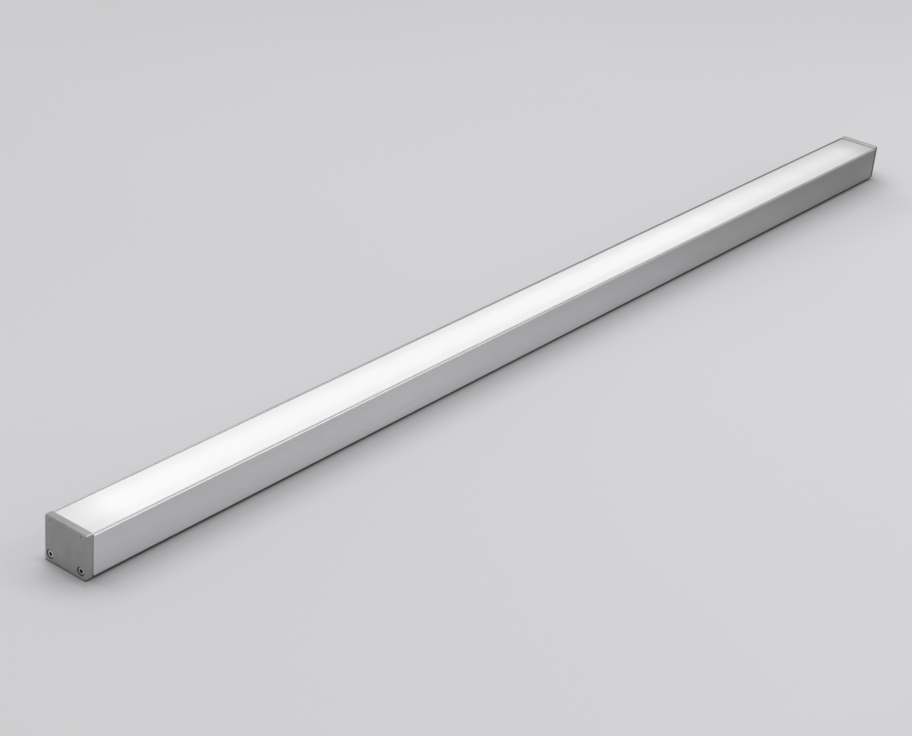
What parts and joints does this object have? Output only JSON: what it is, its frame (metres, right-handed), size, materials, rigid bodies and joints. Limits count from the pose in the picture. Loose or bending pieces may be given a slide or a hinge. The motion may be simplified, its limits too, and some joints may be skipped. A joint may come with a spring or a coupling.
{
  "type": "outdoor wall washer light",
  "caption": "Slim linear wall washer light: extruded aluminium housing with a full-length frosted cover on top, an end cap on each end and a bolt slot along its underside.",
  "frame": {"origin": "centre of the bounding box on the surface that the end caps stand on", "axes": "+X along the lamp towards the end cap with the cable gland, +Z the way the light shines, -Y the long side that faces the picture's camera"},
  "size_m": [1.0112, 0.038, 0.032],
  "materials": {
    "anodised_aluminium": "fine brushed, satin anodised",
    "frosted_cover": "frosted, lit from inside",
    "clear_silicone": "translucent",
    "cap_finish": "fine-grained mid-grey powder coat",
    "gasket_rubber": "matt grey silicone",
    "screw_steel": "bright",
    "board_white": "white solder mask",
    "light_window": "phosphor",
    "heat_tape": "soft",
    "component_black": "moulded",
    "connector_white": "moulded",
    "lead_red": "extruded insulation",
    "lead_black": "extruded insulation",
    "board_green": "solder mask",
    "capacitor_amber": "moulded",
    "terminal_green": "moulded",
    "insulating_sheet": "film",
    "gland_plastic": "moulded",
    "gland_rubber": "matt"
  },
  "bodies": {
    "root": {"housing": "anodised_aluminium", "diffuser_cover": "frosted_cover", "cover_seal_front": "clear_silicone", "cover_seal_back": "clear_silicone", "end_cap_near": "cap_finish", "end_cap_far": "cap_finish", "end_gasket_near": "gasket_rubber", "end_gasket_far": "gasket_rubber", "cap_screws_near": "screw_steel", "cap_screws_far": "screw_steel", "led_board_near": "board_white", "led_board_far": "board_white", "led_chips_near": "light_window", "led_chips_far": "light_window", "thermal_pad_near": "heat_tape", "thermal_pad_far": "heat_tape", "board_screws": "screw_steel", "board_resistors": "component_black", "board_connectors": "connector_white", "link_leads": "lead_red", "driver_board": "board_green", "driver_coils": "component_black", "driver_capacitors": "capacitor_amber", "driver_chips": "component_black", "driver_terminals": "terminal_green", "driver_insulator": "insulating_sheet", "output_leads": "lead_red", "supply_leads": "lead_black", "gland_body": "gland_plastic", "gland_seal": "gland_rubber", "gland_nut": "gland_plastic", "gland_washer": "gland_rubber"}
  },
  "joints": []
}
